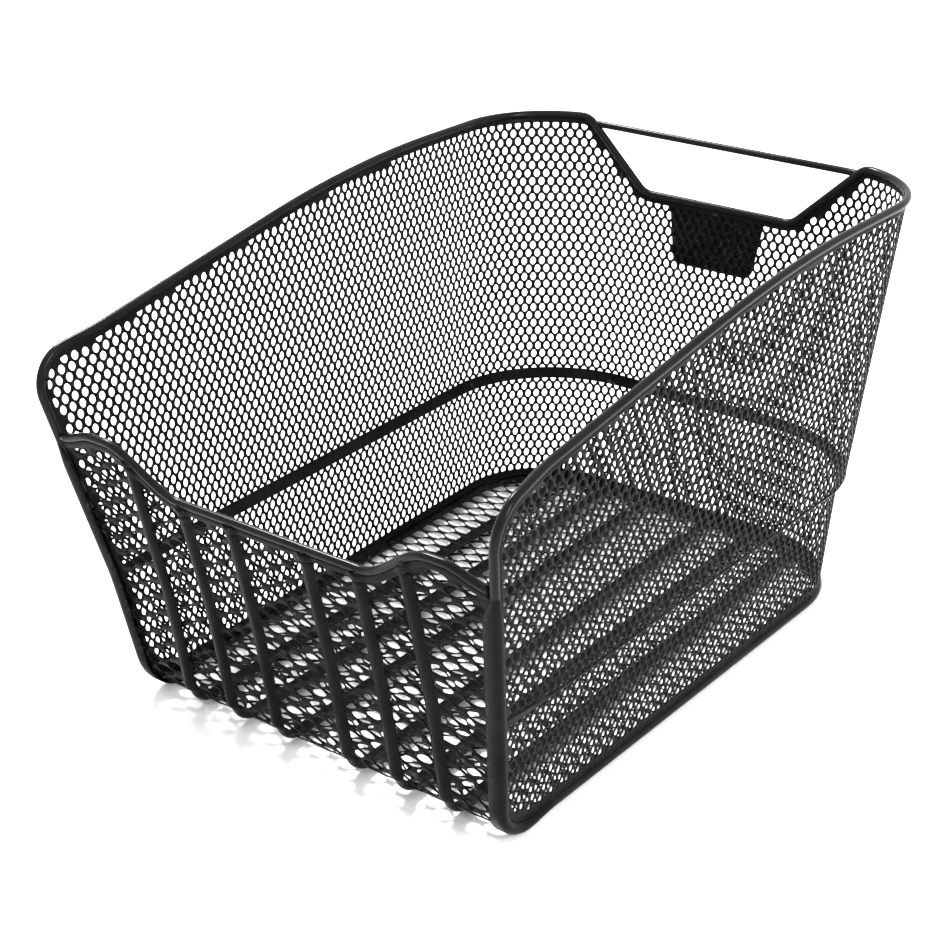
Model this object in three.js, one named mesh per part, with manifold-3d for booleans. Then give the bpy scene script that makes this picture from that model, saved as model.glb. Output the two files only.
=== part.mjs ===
// Bicycle basket of expanded steel mesh on a bent wire frame.
// Millimetres. X is the width, Y the length with the low front at -Y and the handle at +Y, Z is up.
// The mesh sheets are modelled as thin closed sheets with the true outline and bends of the real ones.
import * as THREE from "three";
import { mergeVertices } from "three/addons/utils/BufferGeometryUtils.js";
import Module from "manifold-3d";

// ---------------------------------------------------------------- driving dimensions

// Plan of the wall sheet at three heights: half widths at the front and back edge,
// where the front edge and back wall stand, and the radius of the back corners.
const BASE_PLAN = { z: 0, halfFront: 109.5, halfBack: 116, frontY: -162.1, backY: 177.9, corner: 54 };
const LEDGE_PLAN = { z: 72, halfFront: 116.3, halfBack: 122, frontY: -176.1, backY: 189.9, corner: 70 };
const TOP_PLAN = { z: 225, halfFront: 126.3, halfBack: 131.5, frontY: -215.1, backY: 198.4, corner: 56 };

const LEDGE_STEP = 3.5; // how far the wall steps out above the pressed ledge
const LEDGE_HEIGHT = 4; // height over which it steps
const LEDGE_FADE = 50; // length behind the front edge over which the step settles
const EDGE_SPREAD = 0.068; // how fast the front edge spreads above the ledge
const EDGE_REACH = 8; // and how far

const GAP = 0.3; // clearance between touching pieces
const SHEET = 1.0; // thickness of the mesh sheets

const RIM_RADIUS = 2.2;
const BASE_RADIUS = 2.5;
const HANDLE_RADIUS = 2.0;
const FRONT_RIM_RADIUS = 2.0;
const WIRE_SIDES = 10;

const RIM_FRONT_Z = 189; // rim height where its line meets the front edge
const RIM_SLOPE = 0.174;
const RIM_STRAIGHT_END_Y = -36.1; // the rim climbs straight up to here
const RIM_LEVEL_Y = 103.9; // and is level from here back
const TOP_BEND = 18; // bend radius between rim and upright
const BOTTOM_BEND = 25; // bend radius between upright and base wire

const UPRIGHT_LOW_Z = 40; // the uprights run straight from here
const UPRIGHT_MIDDLE_Z = 117;
const UPRIGHT_HIGH_Z = 150;

const NOTCH = { halfBottom: 49, halfTop: 90, z: 191.4, bend: 11, lead: 9 };
const HANDLE_Z = 226.9;
const HANDLE_HALF = 79.6;

const FLOOR_Z = 4.6; // middle of the floor sheet
const FLOOR_BACK_INSET = 1.5;
const FRONT_BEND = 12; // bend between floor and front panel
const BEADS = [22, 51.5, 80]; // distances of the pressed beads from the middle
const BEAD_HALF_WIDTH = 4;
const BEAD_DEPTH = 3;

const FRONT_LOW_Z = 136; // height of the middle of the front rim
const FRONT_HUMP_RISE = 21;
const FRONT_HUMP_X = 102;
const FRONT_HUMP_FLAT = 8; // half length of the level top of a hump
const FRONT_LOW_HALF = 53; // half length of its low straight middle
const FRONT_END_DROP = 6; // how far its ends dip again beside the uprights
const FRONT_END_RUN = 22; // and over what length
const FRONT_RIM_PLAY = 0.4; // extra room between its ends and the uprights
const FRONT_SHEET_TOP_Z = 170; // the front sheet before it is cut along its rim

const STRIP_HIGH_Z = 144;
const STRIP_FLANGE = 5; // how far its flange on the front panel reaches from the middle of the wire
const STRIP_THICKNESS = 1;
const STRIP_WRAP = THREE.MathUtils.degToRad(150);
const STRIP_WRAP_STEPS = 8;

const BADGE = { halfTop: 31, halfBottom: 27, topZ: 187, bottomZ: 153, corner: 8, thickness: 1.2 };

// ---------------------------------------------------------------- materials

const BLACK = 0x141416;
const finishes = {
  wire: { color: BLACK, roughness: 0.42, metalness: 0.3 },
  mesh: { color: 0x17171a, roughness: 0.5, metalness: 0.3 },
  badge: { color: 0x0e0e10, roughness: 0.38, metalness: 0.2 },
};

const basket = new THREE.Group();
basket.name = "bicycle_basket";

function addNode(name, geometry, finish) {
  const mesh = new THREE.Mesh(geometry, new THREE.MeshStandardMaterial(finishes[finish]));
  mesh.name = name;
  basket.add(mesh);
}

// ---------------------------------------------------------------- manifold helpers

const wasm = await Module();
wasm.setup();

function signedVolume(geometry) {
  const p = geometry.getAttribute("position");
  const index = geometry.getIndex();
  const a = new THREE.Vector3();
  const b = new THREE.Vector3();
  const c = new THREE.Vector3();
  let volume = 0;
  for (let i = 0; i < index.count; i += 3) {
    a.fromBufferAttribute(p, index.getX(i));
    b.fromBufferAttribute(p, index.getX(i + 1));
    c.fromBufferAttribute(p, index.getX(i + 2));
    volume += a.dot(b.cross(c)) / 6;
  }
  return volume;
}

// Indexed geometry whose faces look outwards.
function closedBody(geometry) {
  geometry.deleteAttribute("normal");
  geometry.deleteAttribute("uv");
  const merged = mergeVertices(geometry, 1e-4);
  if (signedVolume(merged) < 0) {
    const index = merged.getIndex();
    for (let i = 0; i < index.count; i += 3) {
      const first = index.getX(i);
      index.setX(i, index.getX(i + 2));
      index.setX(i + 2, first);
    }
  }
  return merged;
}

function toManifold(geometry) {
  const body = closedBody(geometry);
  return new wasm.Manifold(
    new wasm.Mesh({
      numProp: 3,
      vertProperties: new Float32Array(body.getAttribute("position").array),
      triVerts: new Uint32Array(body.getIndex().array),
    }),
  );
}

function toGeometry(manifold) {
  const mesh = manifold.getMesh();
  const geometry = new THREE.BufferGeometry();
  geometry.setAttribute("position", new THREE.BufferAttribute(mesh.vertProperties, 3));
  geometry.setIndex(new THREE.BufferAttribute(mesh.triVerts, 1));
  geometry.computeVertexNormals();
  return geometry;
}

// Cuts the sheet back from every cutter, and keeps its largest part.
function trimmed(sheet, cutters) {
  let body = toManifold(sheet);
  for (const cutter of cutters) {
    body = body.subtract(toManifold(cutter));
  }
  const parts = body.decompose();
  parts.sort((a, b) => b.volume() - a.volume());
  return toGeometry(parts[0]);
}

// ---------------------------------------------------------------- wires

// A bent wire through a list of points, with its sections at those points.
class BentWire extends THREE.Curve {
  constructor(points) {
    super();
    this.points = points;
  }

  getPoint(t) {
    const place = t * (this.points.length - 1);
    const i = Math.min(Math.floor(place), this.points.length - 2);
    return this.points[i].clone().lerp(this.points[i + 1], place - i);
  }

  getUtoTmapping(u) {
    return u;
  }

  getTangent(t) {
    const i = Math.round(t * (this.points.length - 1));
    const tangent = new THREE.Vector3();
    if (i > 0) {
      tangent.add(this.points[i].clone().sub(this.points[i - 1]).normalize());
    }
    if (i < this.points.length - 1) {
      tangent.add(this.points[i + 1].clone().sub(this.points[i]).normalize());
    }
    return tangent.normalize();
  }
}

function roundSection(radius) {
  const points = [];
  for (let i = 0; i < WIRE_SIDES; i += 1) {
    const angle = (2 * Math.PI * i) / WIRE_SIDES;
    points.push(new THREE.Vector2(radius * Math.cos(angle), radius * Math.sin(angle)));
  }
  return new THREE.Shape(points);
}

function wireGeometry(points, radius) {
  const geometry = new THREE.ExtrudeGeometry(roundSection(radius), {
    steps: points.length - 1,
    bevelEnabled: false,
    extrudePath: new BentWire(points),
  });
  return closedBody(geometry);
}

// The space that a wire and the clearance around it take out of a sheet.
function wireCutter(points, radius) {
  return wireGeometry(points, radius + GAP);
}

// Points of an arc that rounds the corner between two straight runs.
function bendPoints(before, corner, after, radius, steps) {
  const back = before.clone().sub(corner).normalize();
  const ahead = after.clone().sub(corner).normalize();
  const half = back.angleTo(ahead) / 2;
  const reach = radius / Math.tan(half);
  const bisector = back.clone().add(ahead).normalize();
  const centre = corner.clone().addScaledVector(bisector, radius / Math.sin(half));
  const start = corner.clone().addScaledVector(back, reach).sub(centre);
  const end = corner.clone().addScaledVector(ahead, reach).sub(centre);
  const sweep = start.angleTo(end);
  const points = [];
  for (let i = 0; i <= steps; i += 1) {
    const k = i / steps;
    const weightStart = Math.sin((1 - k) * sweep) / Math.sin(sweep);
    const weightEnd = Math.sin(k * sweep) / Math.sin(sweep);
    const point = centre.clone();
    point.addScaledVector(start, weightStart);
    point.addScaledVector(end, weightEnd);
    points.push(point);
  }
  return points;
}

// Shortens a run of points by a length at each end.
function shortened(points, atStart, atEnd) {
  const run = points.map((p) => p.clone());
  const first = run[1].clone().sub(run[0]).normalize();
  run[0].addScaledVector(first, atStart);
  const n = run.length;
  const last = run[n - 2].clone().sub(run[n - 1]).normalize();
  run[n - 1].addScaledVector(last, atEnd);
  return run;
}

function mirrored(points) {
  return points.map((p) => new THREE.Vector3(-p.x, p.y, p.z));
}

function sided(points, side) {
  return side > 0 ? points : mirrored(points);
}

// ---------------------------------------------------------------- the wall's shape

// The plan of the wall at a height, without the ledge's step.
function planAt(z) {
  const upper = z > LEDGE_PLAN.z;
  const low = upper ? LEDGE_PLAN : BASE_PLAN;
  const high = upper ? TOP_PLAN : LEDGE_PLAN;
  const k = (z - low.z) / (high.z - low.z);
  const plan = {};
  for (const key of Object.keys(low)) {
    plan[key] = low[key] + (high[key] - low[key]) * k;
  }
  return plan;
}

// How far the wall stands out at a height, away from its front edges.
function stepAt(z) {
  const k = (z - LEDGE_PLAN.z) / LEDGE_HEIGHT + 0.5;
  return LEDGE_STEP * THREE.MathUtils.clamp(k, 0, 1);
}

// The same at the front edges, where it grows slowly with height.
function edgeStepAt(z) {
  return THREE.MathUtils.clamp((z - LEDGE_PLAN.z) * EDGE_SPREAD, 0, EDGE_REACH);
}

// A place on the right front edge.
function frontEdge(z) {
  const plan = planAt(z);
  return new THREE.Vector3(plan.halfFront + edgeStepAt(z), plan.frontY, z);
}

// A place on the right side wall, from its front edge (0) to the start of the corner (1).
function sidePoint(s, z) {
  const plan = planAt(z);
  const length = plan.backY - plan.corner - plan.frontY;
  const fade = THREE.MathUtils.smoothstep(s * length, 0, LEDGE_FADE);
  const step = THREE.MathUtils.lerp(edgeStepAt(z), stepAt(z), fade);
  const x = THREE.MathUtils.lerp(plan.halfFront, plan.halfBack, s) + step;
  return new THREE.Vector3(x, plan.frontY + length * s, z);
}

// A place on the right back corner, t from the side wall (0) to the back wall (1).
function cornerPoint(t, z) {
  const plan = planAt(z);
  const angle = (t * Math.PI) / 2;
  const reach = plan.corner + stepAt(z);
  const x = plan.halfBack - plan.corner + reach * Math.cos(angle);
  const y = plan.backY - plan.corner + reach * Math.sin(angle);
  return new THREE.Vector3(x, y, z);
}

// A place on the back wall or on the corners beside it.
function backPoint(x, z) {
  const plan = planAt(z);
  const reach = plan.corner + stepAt(z);
  const past = Math.max(Math.abs(x) - (plan.halfBack - plan.corner), 0);
  return new THREE.Vector3(x, plan.backY - plan.corner + Math.sqrt(reach * reach - past * past), z);
}

// Where the back wall meets the right corner.
function backEdge(z) {
  const plan = planAt(z);
  return plan.halfBack - plan.corner;
}

function rimHeight(y) {
  const start = planAt(RIM_FRONT_Z).frontY;
  if (y < RIM_STRAIGHT_END_Y) {
    return RIM_FRONT_Z + RIM_SLOPE * (y - start);
  }
  const past = Math.min(y, RIM_LEVEL_Y) - RIM_STRAIGHT_END_Y;
  const curve = RIM_LEVEL_Y - RIM_STRAIGHT_END_Y;
  const straight = RIM_FRONT_Z + RIM_SLOPE * (RIM_STRAIGHT_END_Y - start);
  return straight + RIM_SLOPE * (past - (past * past) / (2 * curve));
}

const RIM_BACK_Z = rimHeight(RIM_LEVEL_Y);

// The rim height over a place on the side wall.
function sideRimHeight(s) {
  let z = RIM_BACK_Z;
  for (let i = 0; i < 6; i += 1) {
    z = rimHeight(sidePoint(s, z).y);
  }
  return z;
}

// ---------------------------------------------------------------- wire routes, right side

const SIDE_STEPS = 14;
const CORNER_STEPS = 8;
const BEND_STEPS = 6;
const NOTCH_BEND_STEPS = 4;
const RIM_POINT_SPACE = 8; // the rim's first point after the bend is at least this far behind it
const BASE_Z = BASE_RADIUS;

function sampled(count, place) {
  return Array.from({ length: count + 1 }, (_, i) => place(i / count));
}

// The notch wire takes over from the rim wire here, on the back corner.
const NOTCH_START_X = NOTCH.halfTop + NOTCH.lead;
const RIM_CORNER_REACH = planAt(RIM_BACK_Z).corner + LEDGE_STEP;
const RIM_CORNER_ANGLE = Math.acos((NOTCH_START_X - backEdge(RIM_BACK_Z)) / RIM_CORNER_REACH);
const RIM_CORNER_END = RIM_CORNER_ANGLE / (Math.PI / 2);

const rimSide = sampled(SIDE_STEPS, (s) => sidePoint(s, sideRimHeight(s)));
const rimCorner = sampled(CORNER_STEPS, (k) => cornerPoint(k * RIM_CORNER_END, RIM_BACK_Z));
const topBend = bendPoints(frontEdge(UPRIGHT_HIGH_Z), rimSide[0], rimSide[2], TOP_BEND, BEND_STEPS);
const bottomCorner = frontEdge(BASE_Z);
const baseSideEnd = sidePoint(1, BASE_Z);
const uprightFoot = frontEdge(UPRIGHT_LOW_Z);
const bottomBend = bendPoints(baseSideEnd, bottomCorner, uprightFoot, BOTTOM_BEND, BEND_STEPS);
const baseCorner = sampled(CORNER_STEPS, (t) => cornerPoint(t, BASE_Z));
const rimSideRear = rimSide.filter((p) => p.y > topBend.at(-1).y + RIM_POINT_SPACE);

const rimRun = [...topBend, ...rimSideRear, ...rimCorner.slice(1)];
const uprightRun = [...bottomBend, frontEdge(LEDGE_PLAN.z), frontEdge(UPRIGHT_MIDDLE_Z), topBend[0]];
const baseSideRun = [bottomBend[0], baseSideEnd];
const baseBackRun = [...baseCorner, ...mirrored(baseCorner).reverse()];

const notchTop = backPoint(NOTCH.halfTop, RIM_BACK_Z);
const notchBottom = backPoint(NOTCH.halfBottom, NOTCH.z);
const notchStart = backPoint(NOTCH_START_X, RIM_BACK_Z);
const notchMiddle = backPoint(0, NOTCH.z);
const notchHalf = [
  rimRun.at(-1),
  ...bendPoints(notchStart, notchTop, notchBottom, NOTCH.bend, NOTCH_BEND_STEPS),
  ...bendPoints(notchTop, notchBottom, notchMiddle, NOTCH.bend, NOTCH_BEND_STEPS),
];
const notchRun = [...notchHalf, ...mirrored(notchHalf).reverse()];

// Height of the front rim across the width: low in the middle, a hump near each end.
function frontRimHeight(x) {
  const across = Math.abs(x);
  const rise = THREE.MathUtils.smoothstep(across, FRONT_LOW_HALF, FRONT_HUMP_X - FRONT_HUMP_FLAT);
  const drop = THREE.MathUtils.smoothstep(across, FRONT_HUMP_X, FRONT_HUMP_X + FRONT_END_RUN);
  return FRONT_LOW_Z + FRONT_HUMP_RISE * rise - FRONT_END_DROP * drop;
}

function frontPoint(x, z) {
  return new THREE.Vector3(x, planAt(z).frontY, z);
}

const FRONT_RIM_END = frontEdge(UPRIGHT_HIGH_Z).x - RIM_RADIUS - GAP - FRONT_RIM_PLAY;
const FRONT_RIM_STEPS = 16;
const frontRimHalf = sampled(FRONT_RIM_STEPS, (k) => {
  const x = FRONT_RIM_END * k;
  return frontPoint(x, frontRimHeight(x));
}).reverse();
const frontRimRun = [...frontRimHalf, ...mirrored(frontRimHalf).reverse().slice(1)];

// ---------------------------------------------------------------- wire nodes

const HALF_GAP = GAP / 2;

for (const [side, label] of [[1, "right"], [-1, "left"]]) {
  const rim = sided(shortened(rimRun, HALF_GAP, HALF_GAP), side);
  addNode(`rim_wire_${label}`, wireGeometry(rim, RIM_RADIUS), "wire");
  const upright = sided(shortened(uprightRun, HALF_GAP, HALF_GAP), side);
  addNode(`upright_wire_${label}`, wireGeometry(upright, RIM_RADIUS), "wire");
  const baseSide = sided(shortened(baseSideRun, HALF_GAP, HALF_GAP), side);
  addNode(`base_wire_${label}`, wireGeometry(baseSide, BASE_RADIUS), "wire");
}
const baseBack = shortened(baseBackRun, HALF_GAP, HALF_GAP);
addNode("base_wire_back", wireGeometry(baseBack, BASE_RADIUS), "wire");
const notch = shortened(notchRun, HALF_GAP, HALF_GAP);
addNode("notch_wire", wireGeometry(notch, RIM_RADIUS), "wire");
addNode("front_rim_wire", wireGeometry(frontRimRun, FRONT_RIM_RADIUS), "wire");

const handleRun = [backPoint(-HANDLE_HALF, HANDLE_Z), backPoint(HANDLE_HALF, HANDLE_Z)];
addNode("handle_bar", wireGeometry(handleRun, HANDLE_RADIUS), "wire");

// ---------------------------------------------------------------- sheets

// A closed thin sheet over a grid of points; thicken gives the direction of its thickness.
function sheetGeometry(grid, thicken) {
  const rows = grid.length;
  const columns = grid[0].length;
  const positions = [];
  for (const sign of [1, -1]) {
    for (let i = 0; i < rows; i += 1) {
      for (let j = 0; j < columns; j += 1) {
        const point = grid[i][j].clone();
        point.addScaledVector(thicken(i, j), (sign * SHEET) / 2);
        positions.push(point.x, point.y, point.z);
      }
    }
  }
  const at = (layer, i, j) => layer * rows * columns + i * columns + j;
  const index = [];
  const quad = (a, b, c, d) => index.push(a, b, c, a, c, d);
  for (let i = 0; i < rows - 1; i += 1) {
    for (let j = 0; j < columns - 1; j += 1) {
      quad(at(0, i, j), at(0, i, j + 1), at(0, i + 1, j + 1), at(0, i + 1, j));
      quad(at(1, i, j), at(1, i + 1, j), at(1, i + 1, j + 1), at(1, i, j + 1));
    }
    const last = columns - 1;
    quad(at(0, i, 0), at(0, i + 1, 0), at(1, i + 1, 0), at(1, i, 0));
    quad(at(0, i, last), at(1, i, last), at(1, i + 1, last), at(0, i + 1, last));
  }
  for (let j = 0; j < columns - 1; j += 1) {
    const last = rows - 1;
    quad(at(0, 0, j), at(1, 0, j), at(1, 0, j + 1), at(0, 0, j + 1));
    quad(at(0, last, j), at(0, last, j + 1), at(1, last, j + 1), at(1, last, j));
  }
  const geometry = new THREE.BufferGeometry();
  geometry.setAttribute("position", new THREE.Float32BufferAttribute(positions, 3));
  geometry.setIndex(index);
  return closedBody(geometry);
}

// The heights of a wall panel's rows: base, both sides of the ledge, and up to the rim.
function wallRows(top) {
  const low = LEDGE_PLAN.z - LEDGE_HEIGHT / 2;
  const high = LEDGE_PLAN.z + LEDGE_HEIGHT / 2;
  return [BASE_Z, low, high, THREE.MathUtils.lerp(high, top, 0.5), top];
}

const ALONG_X = new THREE.Vector3(1, 0, 0);
const ALONG_Y = new THREE.Vector3(0, 1, 0);

function sideSheet(side) {
  const seam = HALF_GAP / (baseSideEnd.y - bottomCorner.y);
  const places = [0, 0.02, 0.045, 0.075, 0.2, 0.35, 0.5, 0.65, 0.8, 1 - seam];
  const columns = places.map((s) => wallRows(sideRimHeight(s)).map((z) => sidePoint(s, z)));
  return sheetGeometry(columns.map((column) => sided(column, side)), () => ALONG_X);
}

function cornerSheet(side) {
  const seam = HALF_GAP / (LEDGE_PLAN.corner * (Math.PI / 2));
  const places = sampled(CORNER_STEPS, (k) => seam + (1 - 2 * seam) * k);
  const columns = places.map((t) => wallRows(RIM_BACK_Z).map((z) => cornerPoint(t, z)));
  const outward = (i) => {
    const angle = (places[i] * Math.PI) / 2;
    return new THREE.Vector3(side * Math.cos(angle), Math.sin(angle), 0);
  };
  return sheetGeometry(columns.map((column) => sided(column, side)), outward);
}

function backSheet() {
  const places = [-1, -0.75, -0.5, -0.25, 0, 0.25, 0.5, 0.75, 1];
  const columns = places.map((k) =>
    wallRows(RIM_BACK_Z).map((z) => backPoint(k * (backEdge(z) - HALF_GAP), z)),
  );
  return sheetGeometry(columns, () => ALONG_Y);
}

const CUT_ABOVE = 60; // how far the space cut away above a wire reaches up
const CUT_LENGTH = 120; // and its length along Y

// The space above a wire that runs across the basket, as wide as reach and ending at backY.
function spaceAbove(run, reach, backY) {
  const line = run.map((p) => new THREE.Vector2(p.x, p.z));
  const endZ = line[0].y;
  const outline = [
    new THREE.Vector2(reach, endZ),
    ...line,
    new THREE.Vector2(-reach, endZ),
    new THREE.Vector2(-reach, endZ + CUT_ABOVE),
    new THREE.Vector2(reach, endZ + CUT_ABOVE),
  ];
  const shape = new THREE.Shape(outline);
  const prism = new THREE.ExtrudeGeometry(shape, { depth: CUT_LENGTH, bevelEnabled: false });
  prism.rotateX(Math.PI / 2);
  prism.translate(0, backY, 0);
  return closedBody(prism);
}

const notchCutter = spaceAbove(notchRun, planAt(RIM_BACK_Z).halfBack, TOP_PLAN.backY + CUT_ABOVE);
const notchWireCutter = wireCutter(notchRun, RIM_RADIUS);
const baseStart = [bottomBend[1], bottomBend[0]];
const baseRun = [...baseStart, ...baseBackRun, ...mirrored(baseStart).reverse()];
const baseCutter = wireCutter(baseRun, BASE_RADIUS);
for (const [side, label] of [[1, "right"], [-1, "left"]]) {
  const cutters = [
    wireCutter(sided([...uprightRun.slice(-2), ...rimRun.slice(1)], side), RIM_RADIUS),
    wireCutter(sided(uprightRun, side), RIM_RADIUS),
    baseCutter,
  ];
  addNode(`wall_mesh_${label}`, trimmed(sideSheet(side), cutters), "mesh");
  const cornerCutters = [...cutters, notchCutter, notchWireCutter];
  addNode(`wall_mesh_corner_${label}`, trimmed(cornerSheet(side), cornerCutters), "mesh");
}

const backCutters = [notchCutter, notchWireCutter, baseCutter];
addNode("wall_mesh_back", trimmed(backSheet(), backCutters), "mesh");

// Pressed beads: how far the sheet stands out at a distance from the middle.
function beadDepth(x) {
  const nearest = Math.min(...BEADS.map((bead) => Math.abs(Math.abs(x) - bead)));
  const k = Math.min(nearest / BEAD_HALF_WIDTH, 1);
  return BEAD_DEPTH * Math.cos((k * Math.PI) / 2);
}

function beadColumns() {
  const half = [];
  for (const bead of BEADS) {
    for (const k of [-1, -0.5, 0, 0.5, 1]) {
      half.push(bead + k * BEAD_HALF_WIDTH);
    }
  }
  return [...half.map((x) => -x).reverse(), ...half];
}

// The floor: flat, with its beads standing down.
function floorSheet() {
  const frontY = frontEdge(FLOOR_Z).y + FRONT_BEND + GAP;
  const rowAt = (y) => {
    const plan = planAt(FLOOR_Z);
    const straightEnd = plan.backY - plan.corner;
    const k = (y - plan.frontY) / (straightEnd - plan.frontY);
    let half = THREE.MathUtils.lerp(plan.halfFront, plan.halfBack, Math.min(k, 1));
    if (y > straightEnd) {
      const past = (y - straightEnd) / plan.corner;
      half = plan.halfBack - plan.corner + plan.corner * Math.sqrt(Math.max(1 - past * past, 0));
    }
    return [-half, ...beadColumns(), half].map((x) => {
      const inside = THREE.MathUtils.clamp(x, -half, half);
      return new THREE.Vector3(inside, y, FLOOR_Z - beadDepth(x));
    });
  };
  const { backY, corner } = planAt(FLOOR_Z);
  const rows = [frontY, 0, backY - corner];
  for (const k of [0.35, 0.6, 0.78]) {
    rows.push(backY - corner + corner * k);
  }
  const last = backY - FLOOR_BACK_INSET;
  const grid = rows.map(rowAt);
  grid.push(grid.at(-1).map((p) => new THREE.Vector3(p.x, last, p.z)));
  const thicken = new THREE.Vector3(0, 0, 1);
  return sheetGeometry(grid, () => thicken);
}

// The front panel: a bend up from the floor, then a flat flaring panel with its beads forwards.
function frontSheet() {
  const foot = frontEdge(FLOOR_Z);
  const lean = Math.atan2(foot.y - frontEdge(LEDGE_PLAN.z).y, LEDGE_PLAN.z - FLOOR_Z);
  const turn = Math.PI / 2 - lean;
  const sections = [];
  const centreY = foot.y + FRONT_BEND;
  const bendSteps = 5;
  for (let i = 0; i <= bendSteps; i += 1) {
    const angle = (turn * i) / bendSteps;
    const y = centreY - FRONT_BEND * Math.sin(angle);
    const z = FLOOR_Z + FRONT_BEND * (1 - Math.cos(angle));
    sections.push({ y, z, out: new THREE.Vector3(0, -Math.sin(angle), -Math.cos(angle)) });
  }
  for (const z of [LEDGE_PLAN.z, UPRIGHT_MIDDLE_Z, FRONT_SHEET_TOP_Z]) {
    sections.push({ y: frontEdge(z).y, z, out: new THREE.Vector3(0, -Math.cos(lean), -Math.sin(lean)) });
  }
  const grid = sections.map(({ y, z, out }) => {
    const half = frontEdge(z).x;
    return [-half, ...beadColumns(), half].map((x) => {
      const point = new THREE.Vector3(x, y, z);
      return point.addScaledVector(out, beadDepth(x));
    });
  });
  return sheetGeometry(grid, (i) => sections[i].out);
}

const uprightCutters = [1, -1].map((side) => wireCutter(sided(uprightRun, side), RIM_RADIUS));
const frontRimCutter = wireCutter(frontRimRun, FRONT_RIM_RADIUS);
// ---------------------------------------------------------------- edge strips

// Section of the strip folded round an upright: a flange on the front panel, then round the wire.
function stripSection(clearance) {
  const inner = RIM_RADIUS + GAP - clearance;
  const outer = RIM_RADIUS + GAP + STRIP_THICKNESS + clearance;
  const flange = STRIP_FLANGE + clearance;
  const arc = (radius) =>
    sampled(STRIP_WRAP_STEPS, (k) => {
      const angle = Math.PI / 2 + STRIP_WRAP * k;
      return new THREE.Vector2(radius * Math.cos(angle), radius * Math.sin(angle));
    });
  const ends = [new THREE.Vector2(flange, inner), new THREE.Vector2(flange, outer)];
  return [...ends, ...arc(outer), ...arc(inner).reverse()];
}

// Triangles that fill a section, wound the same way as its outline.
function capTriangles(section) {
  const triangles = THREE.ShapeUtils.triangulateShape(section, []);
  const turnsRight = THREE.ShapeUtils.isClockWise(section);
  return triangles.map((t) => {
    const same = THREE.ShapeUtils.isClockWise(t.map((i) => section[i])) === turnsRight;
    return same ? t : [...t].reverse();
  });
}

// Middle line of the strip, round the bottom bend and up the upright.
const STRIP_START = 2; // it starts at this point of the bottom bend
const STRIP_HEIGHTS = [LEDGE_PLAN.z, UPRIGHT_MIDDLE_Z, STRIP_HIGH_Z];
const stripRun = [...bottomBend.slice(STRIP_START), ...STRIP_HEIGHTS.map((z) => frontEdge(z))];

// The strip along its run; section x runs inwards and section y away from the bend's centre.
function stripGeometry(side, clearance) {
  const section = stripSection(clearance);
  const caps = capTriangles(section);
  const wire = new BentWire(stripRun);
  const lastPlace = stripRun.length - 1;
  const run = shortened(stripRun, -clearance, -clearance);
  const positions = [];
  for (const [k, centre] of run.entries()) {
    const along = wire.getTangent(k / lastPlace);
    const forward = new THREE.Vector3(0, -along.z, along.y).normalize();
    for (const p of section) {
      positions.push(side * (centre.x - p.x), centre.y + forward.y * p.y, centre.z + forward.z * p.y);
    }
  }
  const n = section.length;
  const index = [];
  for (let k = 0; k < lastPlace; k += 1) {
    const lower = k * n;
    const upper = lower + n;
    for (let i = 0; i < n; i += 1) {
      const j = (i + 1) % n;
      index.push(lower + i, lower + j, upper + j);
      index.push(lower + i, upper + j, upper + i);
    }
  }
  const top = lastPlace * n;
  for (const [a, b, c] of caps) {
    index.push(c, b, a, top + a, top + b, top + c);
  }
  const geometry = new THREE.BufferGeometry();
  geometry.setAttribute("position", new THREE.Float32BufferAttribute(positions, 3));
  geometry.setIndex(index);
  return closedBody(geometry);
}

const stripCutters = [1, -1].map((side) => stripGeometry(side, GAP));
for (const [side, label] of [[1, "right"], [-1, "left"]]) {
  addNode(`edge_strip_${label}`, stripGeometry(side, 0), "mesh");
}
addNode("floor_mesh", trimmed(floorSheet(), [...uprightCutters, baseCutter, ...stripCutters]), "mesh");
const frontTopCutter = spaceAbove(frontRimRun, TOP_PLAN.halfFront + CUT_ABOVE, -CUT_LENGTH);
const frontCutters = [
  frontTopCutter,
  frontRimCutter,
  baseCutter,
  ...uprightCutters,
  ...stripCutters,
];
addNode("front_mesh", trimmed(frontSheet(), frontCutters), "mesh");

// ---------------------------------------------------------------- badge plate

// A blank plate on the outside of the back wall, under the notch.
function badgeGeometry() {
  const { halfTop, halfBottom, topZ, bottomZ, corner, thickness } = BADGE;
  const height = topZ - bottomZ;
  const outline = new THREE.Shape();
  outline.moveTo(-halfTop, 0);
  outline.lineTo(-halfBottom, -height + corner);
  outline.quadraticCurveTo(-halfBottom, -height, -halfBottom + corner, -height);
  outline.lineTo(halfBottom - corner, -height);
  outline.quadraticCurveTo(halfBottom, -height, halfBottom, -height + corner);
  outline.lineTo(halfTop, 0);
  outline.closePath();
  const settings = { depth: thickness, bevelEnabled: false, curveSegments: 6 };
  const plate = new THREE.ExtrudeGeometry(outline, settings);
  const lean = Math.atan2(backPoint(0, topZ).y - backPoint(0, bottomZ).y, height);
  plate.rotateX(Math.PI / 2 - lean);
  const wall = backPoint(0, topZ);
  plate.translate(0, wall.y + SHEET / 2 + GAP + thickness, wall.z);
  return closedBody(plate);
}

addNode("badge_plate", badgeGeometry(), "badge");

export default basket;
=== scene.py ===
"""Bicycle basket of expanded steel mesh on a bent wire frame, around its CAD frame. Metres, +Z up."""
import math

import bpy
import numpy as np
from mathutils import Matrix, Vector


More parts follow.
